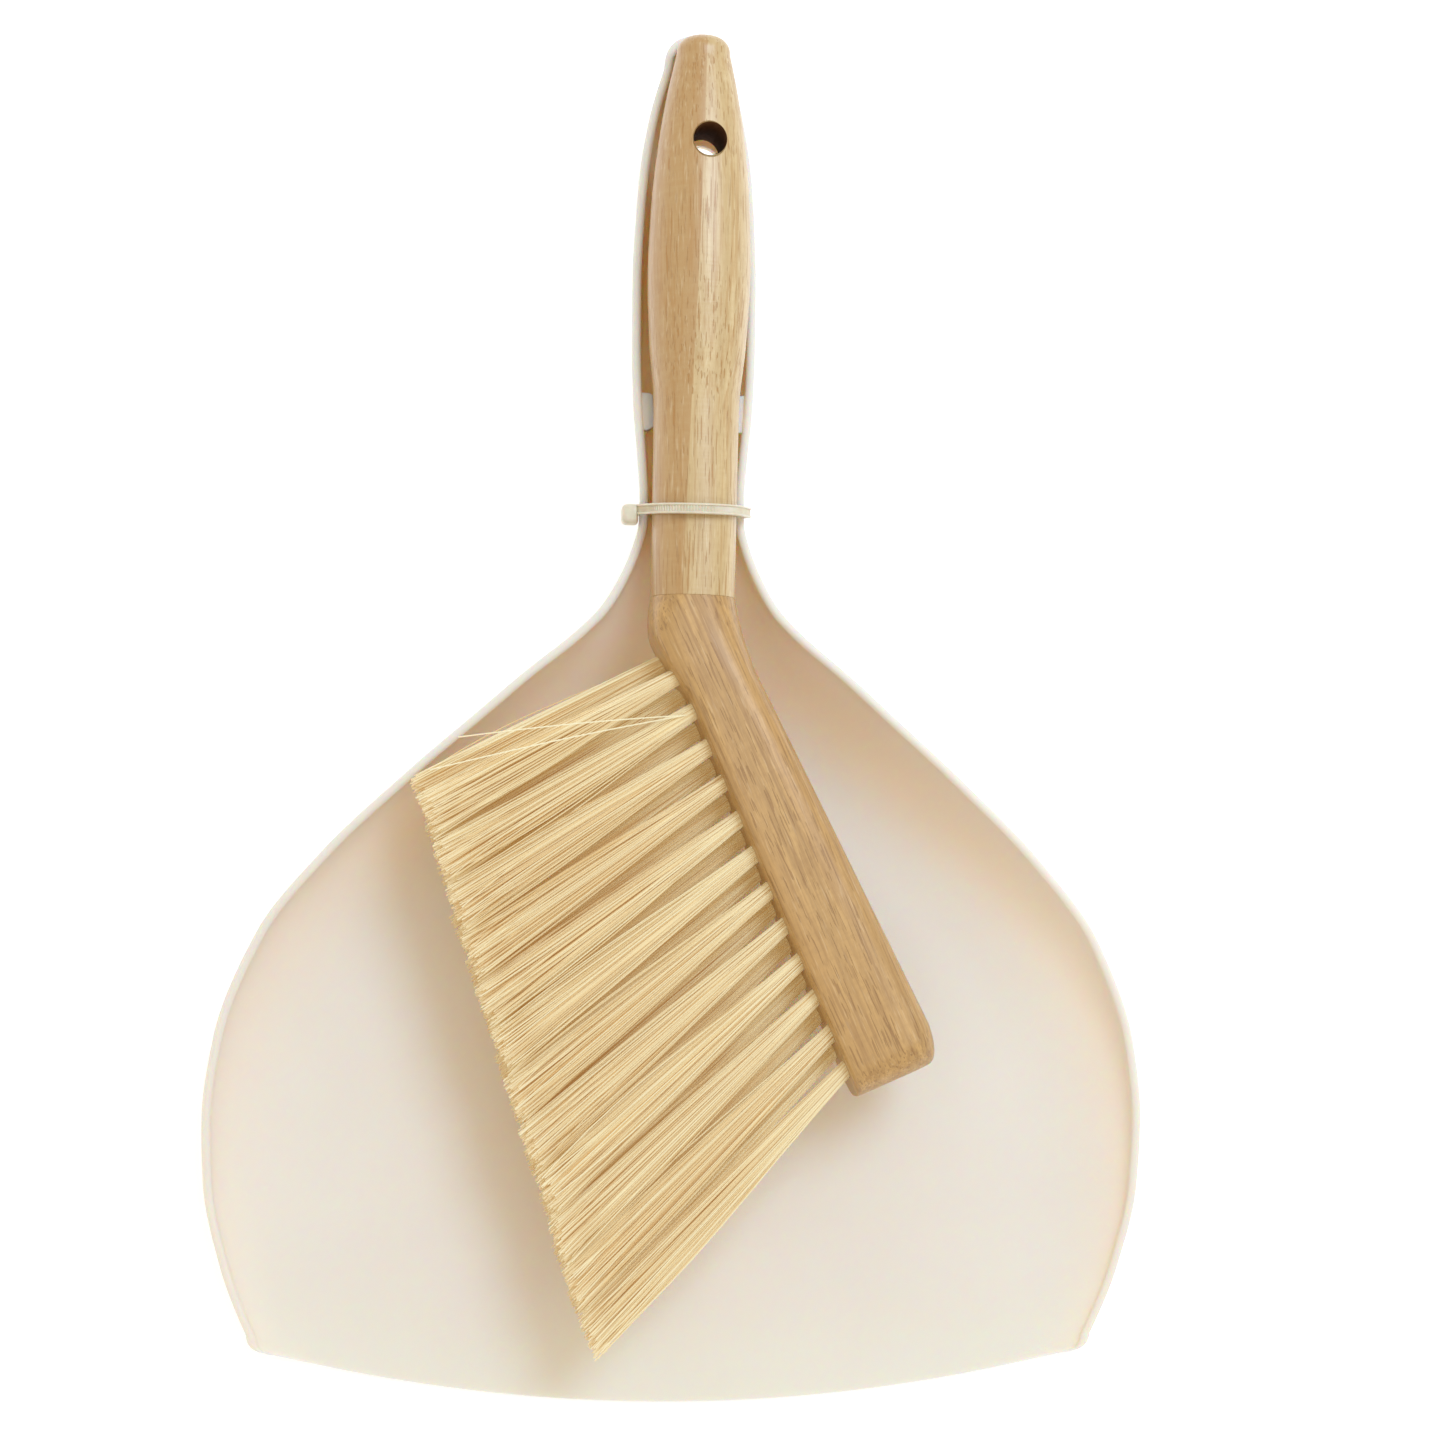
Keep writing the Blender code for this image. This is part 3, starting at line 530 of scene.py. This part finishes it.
def rib_points(centre, rim, bow):
    """One rib of the pan's shell, from the centre line out over the rim and back underneath."""
    (cx, cy), (px, py) = centre, rim
    reach = math.hypot(px - cx, py - cy)
    across = (px - cx) / reach, (py - cy) / reach
    y = min(py, LENGTH / 2)
    lean = min(MOST_LEAN, math.hypot(1.0, slope_of(half_width_at, y))) if py <= TIP_CENTRE_Y else 1.0
    wall = WALL * lean
    inside = reach - wall
    run = min(wall_run_at(y), inside)
    foot = inside - run
    floor = floor_at(min(y, cy) if py > TIP_CENTRE_Y else y)
    under = max(0.0, floor - WALL * math.hypot(1.0, slope_of(floor_at, min(y, TIP_CENTRE_Y))))
    top = rim_at(y) - RIM_CROWN

    points = [(foot * k / FLAT_STEPS, floor) for k in range(FLAT_STEPS + 1)]
    turns = [math.pi / 2 * k / CURVE_STEPS for k in range(1, CURVE_STEPS + 1)]
    points += [(foot + run * math.sin(t), top - (top - floor) * math.cos(t)) for t in turns]
    for k in range(1, CROWN_STEPS):
        t = math.pi * k / CROWN_STEPS
        points.append((inside + wall / 2 * (1 - math.cos(t)), top + RIM_CROWN * math.sin(t)))
    points += [(foot + (run + wall) * math.sin(t), top - (top - under) * math.cos(t)) for t in turns[::-1]]
    points += [(foot * k / FLAT_STEPS, under) for k in range(FLAT_STEPS, -1, -1)]
    return [
        (cx + across[0] * r, cy + across[1] * r - bow * (1 - (r / reach) ** 2), z) for r, z in points
    ]


def pan_ribs():
    """All ribs in order: up the right side, round the tip of the handle and down the left side."""
    right = [rib_points((0, y), (half, y), bow_at(y)) for y, half in pan_stations()]
    tip = []
    for k in range(TIP_STEPS + 1):
        c, s = rounded(math.pi * k / TIP_STEPS, TIP_ROUNDNESS)
        rim = TIP_HALF_WIDTH * c, TIP_CENTRE_Y + TIP_LENGTH * s
        tip.append(rib_points((0, TIP_CENTRE_Y), rim, 0.0))
    left = [[(-x, y, z) for x, y, z in rib] for rib in reversed(right)]
    return right + tip + left


def make_pan(look):
    verts, index, faces = [], {}, []

    def number(point):
        key = tuple(round(v, 4) for v in point)
        if key not in index:
            index[key] = len(verts)
            verts.append(point)
        return index[key]

    ribs = [[number(p) for p in rib] for rib in pan_ribs()]
    for one, other in zip(ribs, ribs[1:]):
        for k in range(len(one) - 1):
            corners = list(dict.fromkeys((one[k], one[k + 1], other[k + 1], other[k])))
            if len(corners) > 2:
                faces.append(corners)
    inner = FLAT_STEPS + CURVE_STEPS
    for rib in (ribs[0], ribs[-1]):
        for k in range(inner):
            faces.append((rib[k], rib[k + 1], rib[-2 - k], rib[-1 - k]))
        faces.append(rib[inner : len(rib) - inner])
    pan = solid("pan", verts, faces, look)
    cut(pan, [snap_tab(-1, look), snap_tab(1, look)], "UNION")
    x, y = hole_centre()
    levels = (floor_at(y) - 3 * WALL, floor_at(y) + 2 * WALL)
    cut(pan, [loft("pan_hole", [circle(x, y, z, PAN_HOLE_RADIUS, PAN_HOLE_SIDES) for z in levels], look)])
    settle(pan, "root", "pan_plastic", "dustpan")


def snap_tab(sign, look):
    """A small lug inside the channel wall that grips the neck of the brush handle."""
    low, high = TAB_Y
    ends = [(low + dy, reach) for dy, reach in TAB_LOW_ENDS]
    ends += [(high + dy, reach) for dy, reach in TAB_HIGH_ENDS]
    outline = [(sign * (half_width_at(y) - WALL - TAB_REACH * reach), y) for y, reach in ends]
    outline += [(sign * (half_width_at(y) - WALL / 2), y) for y in (high, low)]
    top = rim_at((low + high) / 2) - RIM_CROWN
    return loft(f"tab_{sign}", [[(x, y, z) for x, y in outline] for z in (top - TAB_DEPTH, top)], look)


def hole_centre():
    """Where the brush handle's hanging hole lies over the pan."""
    return (
        JOINT.x + HOLE_OFFSET - HOLE_POSITION * math.sin(BRUSH_YAW),
        JOINT.y + HOLE_POSITION * math.cos(HANDLE_TILT),
    )


# ---- Wood --------------------------------------------------------------------------------
def handle_ring(y, half_width, blend):
    """A section of the handle; blend runs from 0 at the joint to 1 on the turned grip."""
    flatness = JOINT_FLATNESS + (HANDLE_FLATNESS - JOINT_FLATNESS) * blend
    roundness = JOINT_ROUNDNESS + (HANDLE_ROUNDNESS - JOINT_ROUNDNESS) * blend
    ring = []
    for k in range(HANDLE_SIDES):
        c, s = rounded(math.tau * k / HANDLE_SIDES, roundness)
        ring.append((half_width * c, y, half_width * flatness * s))
    return ring


def make_handle(look, bore):
    last = HANDLE_PROFILE[-1][0]
    count = round(last / HANDLE_STEP)
    rings = [handle_ring(0.0, handle_half_width_at(0.0) - JOINT_BEVEL, 0.0)]
    for k in range(count + 1):
        y = max(JOINT_BEVEL, last * k / count)
        rings.append(handle_ring(y, handle_half_width_at(y), min(1.0, y / HANDLE_BLEND)))
    for k in range(1, CAP_STEPS + 1):
        c, s = rounded(CAP_TURN * k / CAP_STEPS, JOINT_ROUNDNESS)
        rings.append(handle_ring(last + (HANDLE_LENGTH - last) * s, handle_half_width_at(last) * c, 1.0))
    handle = loft("handle", rings, look, BRUSH)
    thickness = handle_half_width_at(HOLE_POSITION) * HANDLE_FLATNESS
    outside, inside = thickness + HOLE_OVERRUN, thickness - HOLE_FLARE_DEPTH
    mouth = HOLE_RADIUS + HOLE_FLARE + HOLE_OVERRUN_FLARE
    levels = [(-outside, mouth), (-inside, HOLE_RADIUS), (inside, HOLE_RADIUS), (outside, mouth)]
    rings = [circle(HOLE_OFFSET, HOLE_POSITION, z, radius, HOLE_SIDES) for z, radius in levels]
    cutter = loft("hanging_hole", rings, look, BRUSH)
    cutter.data.materials.append(bore)
    for k, face in enumerate(cutter.data.polygons):
        face.material_index = int((k - 2) // HOLE_SIDES == 1)
    cut(handle, [cutter])
    settle(handle, "brush", "handle_wood", "brush_handle")


def along_face(s, depth=0.0, z=0.0):
    """A point in the brush frame from s along the bristle face, depth into the wood, and z."""
    return Vector((
        FACE_START[0] + s * math.sin(BEND) + depth * math.cos(BEND),
        FACE_START[1] - s * math.cos(BEND) + depth * math.sin(BEND),
        z,
    ))


def head_ring(edge, back, half_thickness, blend):
    """A section of the head between its bristle-side edge and its back edge."""
    middle = (Vector(edge) + Vector(back)) / 2
    half = (Vector(back) - Vector(edge)) / 2
    front_square = JOINT_ROUNDNESS + (FACE_SQUARENESS - JOINT_ROUNDNESS) * blend
    back_square = JOINT_ROUNDNESS + (BACK_SQUARENESS - JOINT_ROUNDNESS) * blend
    ring = []
    for k in range(HEAD_SIDES):
        angle = math.tau * k / HEAD_SIDES
        c, s = rounded(angle, back_square if math.cos(angle) >= 0 else front_square)
        ring.append((middle.x + half.x * c, middle.y + half.y * c, half_thickness * s))
    return ring


def head_rings():
    first = (BEND_SECTIONS[0][1][0] * JOINT_FLATNESS, HEAD_HALF_THICKNESS)
    rings = []
    for k, (edge, back) in enumerate(BEND_SECTIONS):
        share = k / len(BEND_SECTIONS)
        thickness = first[0] + (first[1] - first[0]) * share
        rings.append(head_ring(edge, back, thickness, BEND_BLEND * share))
    end_start = FACE_LENGTH - BACK_CORNER
    for k in range(BLOCK_STEPS + 1):
        s = end_start * k / BLOCK_STEPS
        width = BLOCK_WIDTH_START + (BLOCK_WIDTH_END - BLOCK_WIDTH_START) * k / BLOCK_STEPS
        blend = BEND_BLEND + (1 - BEND_BLEND) * min(1.0, s / (end_start / 3))
        rings.append(head_ring(along_face(s)[:2], along_face(s, width)[:2], HEAD_HALF_THICKNESS, blend))
    for k in range(1, END_STEPS + 1):
        turn = math.pi / 2 * k / END_STEPS
        s = end_start + BACK_CORNER * math.sin(turn)
        width = BLOCK_WIDTH_END - BACK_CORNER_DEPTH * (1 - math.cos(turn))
        drop = max(0.0, s - (FACE_LENGTH - END_ROUNDING)) / END_ROUNDING
        thinning = END_ROUNDING * END_THINNING * (1 - math.sqrt(1 - min(1.0, drop) ** 2))
        thickness = HEAD_HALF_THICKNESS - thinning
        rings.append(head_ring(along_face(s)[:2], along_face(s, width)[:2], thickness, 1.0))
    return rings


def refine(rings, steps):
    """The same rings with smooth ones between them (Catmull-Rom)."""
    old = np.array(rings)
    ends = [0] + list(range(len(old))) + [len(old) - 1]
    found = []
    for i in range(len(old) - 1):
        a, b, c, d = (old[ends[i + k]] for k in range(4))
        for k in range(steps):
            t = k / steps
            found.append(0.5 * (
                2 * b + (c - a) * t + (2 * a - 5 * b + 4 * c - d) * t**2 + (3 * b - a - 3 * c + d) * t**3
            ))
    return [ring.tolist() for ring in found] + [rings[-1]]


def tufts():
    """Name, root, tip and the tip's half width and half thickness of every tuft, in the brush frame."""
    found = []
    for row in ("front", "back"):
        for k in range(TUFTS_PER_ROW):
            place = k + ROW_SHIFT[row]
            over_rim = max(0.0, 1 - k / RIM_TUFTS) if row == "back" else 0.0
            root = along_face(ROOT_START + ROOT_PITCH * place, z=ROW_ROOT_HEIGHT[row])
            tip_s = TIP_START + TIP_PITCH * place
            distance = TIP_DISTANCE_START + TIP_DISTANCE_SLOPE * (tip_s - TIP_START)
            tip = along_face(tip_s, -distance, ROW_TIP_HEIGHT[row] + RIM_LIFT * over_rim)
            half_width = TUFT_TIP_HALF_WIDTH - RIM_NARROWING * over_rim
            half_thickness = TUFT_TIP_HALF_THICKNESS - RIM_THINNING * over_rim
            found.append((f"{row}_{k + 1:02d}", root, tip, half_width, half_thickness))
    return found


def tuft_hole(name, root, tip, look):
    way = (tip - root).normalized()
    turn = way.to_track_quat("Z", "Y")
    rings = []
    for middle in (root - way * TUFT_HOLE_DEPTH, root + way * TUFT_HOLE_OVERRUN):
        rings.append([middle + turn @ Vector(p) for p in circle(0, 0, 0, TUFT_HOLE_RADIUS, TUFT_HOLE_SIDES)])
    return loft("hole_" + name, rings, look, BRUSH)


def make_head(look, bore):
    rings = head_rings()
    head = loft("head", refine(rings, HEAD_REFINE), look, BRUSH, sharp=30)
    cut(head, [tuft_hole(name, root, tip, bore) for name, root, tip, _, _ in tufts()], sharp=30)
    settle(head, "brush", "head_wood", "brush_head")


# ---- Bristles ----------------------------------------------------------------------------
def disc(draw, count):
    """Even random points of the unit disc."""
    radius = np.sqrt(draw.random(count))
    turn = draw.random(count) * math.tau
    return radius * np.cos(turn), radius * np.sin(turn)


def tubes(name, paths, radii, tones_and_shade, look):
    """One mesh of closed tubes along paths (filament, step, xyz) in millimetres of the row frame."""
    count, steps, _ = paths.shape
    way = np.gradient(paths, axis=1)
    way /= np.linalg.norm(way, axis=2, keepdims=True)
    side = np.cross(way, NOT_ALONG)
    side /= np.linalg.norm(side, axis=2, keepdims=True)
    up = np.cross(way, side)
    turns = math.tau * np.arange(FILAMENT_SIDES) / FILAMENT_SIDES
    rings = paths[:, :, None] + radii[:, None, None, None] * (
        side[:, :, None] * np.cos(turns)[:, None] + up[:, :, None] * np.sin(turns)[:, None]
    )
    verts = rings.reshape(-1, 3) * MM
    per = steps * FILAMENT_SIDES
    one = []
    for s in range(steps - 1):
        for k in range(FILAMENT_SIDES):
            a, b = s * FILAMENT_SIDES + k, s * FILAMENT_SIDES + (k + 1) % FILAMENT_SIDES
            one.append((a, b, b + FILAMENT_SIDES, a + FILAMENT_SIDES))
    one.append(tuple(range(FILAMENT_SIDES))[::-1])
    one.append(tuple(range(per - FILAMENT_SIDES, per)))
    faces = (np.array(one)[None] + (np.arange(count) * per)[:, None, None]).reshape(-1, 4)
    mesh = bpy.data.meshes.new(name)
    mesh.from_pydata(verts, [], faces.tolist())
    # the tone attribute carries both the random tone and the painted shade inside the bundle
    for label, values in (
        ("tone", np.repeat(tones_and_shade, per)),
        ("along", np.tile(np.repeat(np.linspace(0, 1, steps), FILAMENT_SIDES), count)),
    ):
        mesh.attributes.new(label, "FLOAT", "POINT").data.foreach_set("value", values.astype(np.float32))
    made = bpy.data.objects.new(name, mesh)
    bpy.context.scene.collection.objects.link(made)
    mesh.materials.append(look)
    finish_shading(made, 80)
    return made


def make_tuft(draw, name, root, tip, half_width, half_thickness, look):
    """A bundle of filaments: round in its hole, and spread and flattened at its tip."""
    way = np.array((tip - root).normalized())
    spread = np.array((math.sin(BEND), -math.cos(BEND), 0.0))
    up = np.array((0.0, 0.0, 1.0))
    u, v = disc(draw, FILAMENTS)
    drift_u, drift_v = draw.normal(0, DRIFT, FILAMENTS), draw.normal(0, DRIFT, FILAMENTS)
    far_u, far_v = np.clip(u + drift_u, -1, 1), np.clip(v + drift_v, -1, 1)
    curls = [size * draw.standard_t(3, FILAMENTS) for size in CURL]
    curl_u, curl_v = np.clip(curls, -MOST_CURL, MOST_CURL)
    trim = draw.uniform(-UNEVEN, 0.0, FILAMENTS) - draw.uniform(0.0, TUFT_SHORTENING)
    length = (tip - root).length
    t = np.linspace(0, 1, FILAMENT_STEPS)
    paths = np.zeros((FILAMENTS, FILAMENT_STEPS, 3))
    for k, share in enumerate(t):
        reach = -FILAMENT_DEPTH + (length + FILAMENT_DEPTH + trim) * share
        out = np.clip(reach / length, 0, 1) ** SPREAD_POWER
        wave = np.sin(math.pi * share) * share
        across = PACKED_RADIUS * u * (1 - out) + half_width * far_u * out + curl_u * wave
        rise = PACKED_RADIUS * v * (1 - out) + half_thickness * far_v * out + curl_v * wave
        paths[:, k] = (
            np.array(root) + way * reach[:, None] + spread * across[:, None] + up * rise[:, None]
        )
    matrix = np.array(BRUSH)
    paths = paths @ matrix[:3, :3].T + matrix[:3, 3]
    for end, rise in STRAYS.get(name, []):
        start = paths[:, 1].mean(axis=0) + (0.0, 0.0, TUFT_HOLE_RADIUS)
        stray = start + (np.array(end) - start) * t[:, None] + up * (rise * np.sin(math.pi * t))[:, None]
        paths = np.concatenate([paths, stray[None]])
    strays = len(paths) - FILAMENTS
    radii = np.append(draw.uniform(*FILAMENT_RADIUS, FILAMENTS), np.full(strays, FILAMENT_RADIUS[1]))
    # painted shade: filaments near the middle of the bundle get a darker, more amber tone
    tone_and_shade = RANDOM_TONE * draw.random(FILAMENTS) + BUNDLE_PAINTED_SHADE * (u * u + v * v)
    tones_and_shade = np.append(tone_and_shade, np.ones(strays))
    made = tubes("bristles_" + name, paths, radii, tones_and_shade, look)
    settle(made, "brush", "bristle", "tuft_" + name)


# ---- Cable tie ---------------------------------------------------------------------------
def tie_path(steps):
    """The strap's inner line as (x, z): under the pan's neck and over the brush's neck."""
    half = half_width_at(TIE_Y) + TIE_GAP
    rim = rim_at(TIE_Y) + TIE_GAP / 2
    depth = rim - (floor_at(TIE_Y) - WALL) + 2 * TIE_GAP
    path = []
    for k in range(steps + 1):
        turn = math.pi + math.pi * k / steps
        path.append((half * math.cos(turn), rim + depth * math.sin(turn)))
    neck = handle_half_width_at(TIE_Y - JOINT.y) + 2 * TIE_GAP
    centre = JOINT.z + (TIE_Y - JOINT.y) * math.tan(HANDLE_TILT)
    away = math.hypot(half, rim - centre)
    start = math.atan2(rim - centre, half) + math.acos(neck / away)
    for k in range(steps + 1):
        turn = start + (math.pi - 2 * start) * k / steps
        path.append((neck * math.cos(turn), centre + neck * math.sin(turn)))
    return path


def even(path, pitch):
    """Points of a closed line a steady distance apart, with each one's outward way."""
    loop = np.array(path + path[:1])
    lengths = np.concatenate([[0], np.cumsum(np.linalg.norm(np.diff(loop, axis=0), axis=1))])
    count = round(lengths[-1] / pitch)
    at = np.arange(count) * lengths[-1] / count
    points = np.stack([np.interp(at, lengths, loop[:, k]) for k in range(2)], axis=1)
    along = np.roll(points, -1, axis=0) - np.roll(points, 1, axis=0)
    along /= np.linalg.norm(along, axis=1, keepdims=True)
    return points, np.stack([along[:, 1], -along[:, 0]], axis=1)


def make_tie(look):
    """The strap with its cross teeth between two smooth rails, and its locking head."""
    points, out = even(tie_path(TIE_STEPS), TOOTH_PITCH / len(TOOTH_DIPS))
    half = TIE_WIDTH / 2
    # (across, share of the thickness, how far a tooth dips)
    section = [
        (-half, 0.0, 0), (half, 0.0, 0), (half, TIE_EDGE_SHARE, 0), (half - TIE_EDGE, 1.0, 0),
        (half - TIE_RAIL, 1.0, 0), (half - TIE_RAIL_FOOT, TIE_TOOTH_SHARE, 1),
        (TIE_RAIL_FOOT - half, TIE_TOOTH_SHARE, 1), (TIE_RAIL - half, 1.0, 0),
        (TIE_EDGE - half, 1.0, 0), (-half, TIE_EDGE_SHARE, 0),
    ]
    size = len(section)
    verts, faces = [], []
    for k, ((x, z), (ox, oz)) in enumerate(zip(points, out)):
        y = TIE_Y - (z - TIE_Z) * math.tan(TIE_LEAN)
        dip = TOOTH_DIPS[k % len(TOOTH_DIPS)]
        for across, share, tooth in section:
            grow = TIE_THICKNESS * share - tooth * dip
            verts.append((x + ox * grow, y + across, z + oz * grow))
    for k in range(len(points)):
        start, after = size * k, size * ((k + 1) % len(points))
        for c in range(size):
            d = (c + 1) % size
            faces.append((start + c, start + d, after + d, after + c))
    tie = solid("tie", verts, faces, look, sharp=25)
    left = -(half_width_at(TIE_Y) + TIE_GAP)
    rings = []
    for distance, share in TIE_HEAD_RINGS:
        ring = []
        for k in range(TIE_HEAD_SIDES):
            c, s = rounded(math.tau * k / TIE_HEAD_SIDES, TIE_HEAD_ROUNDNESS)
            y = TIE_Y + TIE_HEAD_Y + TIE_HEAD_SIZE[0] / 2 * share * c
            ring.append((left - distance, y, TIE_Z - TIE_HEAD_DROP + TIE_HEAD_SIZE[1] / 2 * share * s))
        rings.append(ring)
    cut(tie, [loft("tie_head", rings, look)], "UNION", sharp=25)
    settle(tie, "root", "tie_nylon", "cable_tie")


# ---- Stage -------------------------------------------------------------------------------
def make_camera():
    ahead = (AIM - CAMERA).normalized()
    right = ahead.cross(Vector((0, 1, 0))).normalized()
    up = right.cross(ahead)
    c, s = math.cos(CAMERA_ROLL), math.sin(CAMERA_ROLL)
    rows = Matrix((c * right + s * up, c * up - s * right, -ahead))
    data = bpy.data.cameras.new("camera")
    data.lens, data.sensor_width = LENS, SENSOR
    data.clip_start, data.clip_end = 0.01, 20
    made = bpy.data.objects.new("camera", data)
    made.matrix_world = Matrix.Translation(CAMERA * MM) @ rows.transposed().to_4x4()
    bpy.context.scene.collection.objects.link(made)
    bpy.context.scene.camera = made


def make_light(name, place, target, size, power, colour):
    data = bpy.data.lights.new(name, "AREA")
    data.shape, data.size, data.energy, data.color = "DISK", size, power, colour
    made = bpy.data.objects.new(name, data)
    made.location = place
    made.rotation_euler = (Vector(target) - Vector(place)).to_track_quat("-Z", "Y").to_euler()
    bpy.context.scene.collection.objects.link(made)


def make_stage():
    mesh = bpy.data.meshes.new("floor")
    corners = [(x * FLOOR_REACH, y * FLOOR_REACH, 0) for x, y in ((-1, -1), (1, -1), (1, 1), (-1, 1))]
    mesh.from_pydata(corners, [], [(0, 1, 2, 3)])
    floor = bpy.data.objects.new("floor", mesh)
    floor.location.z = -FLOOR_DROP
    bpy.context.scene.collection.objects.link(floor)
    mesh.materials.append(floor_look())
    for light in LIGHTS:
        make_light(*light)
    world = bpy.data.worlds.new("studio")
    world.use_nodes = True
    background = world.node_tree.nodes["Background"]
    background.inputs["Color"].default_value = WORLD_COLOUR
    background.inputs["Strength"].default_value = WORLD_STRENGTH
    bpy.context.scene.world = world
    bpy.context.scene.view_settings.view_transform = "Standard"


def main():
    plastic, bristle, nylon, steel = plastic_look(), bristle_look(), nylon_look(), steel_look()
    pale = wood_look("handle_wood", HANDLE_COLOURS, 0.0, True)
    warm = wood_look("head_wood", HEAD_COLOURS, -BEND, False)
    make_pan(plastic)
    bore = bore_look()
    make_handle(pale, bore)
    make_head(warm, bore)
    draw = np.random.default_rng(SEED)
    for name, root, tip, half_width, half_thickness in tufts():
        make_tuft(draw, name, root, tip, half_width, half_thickness, bristle)
    make_tie(nylon)
    for name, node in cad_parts.items():
        look = {"handle_dowel": warm}.get(name) or (steel if name.startswith("anchor_") else None)
        if look:
            node.data.materials.clear()
            node.data.materials.append(look)
    make_stage()
    make_camera()


main()
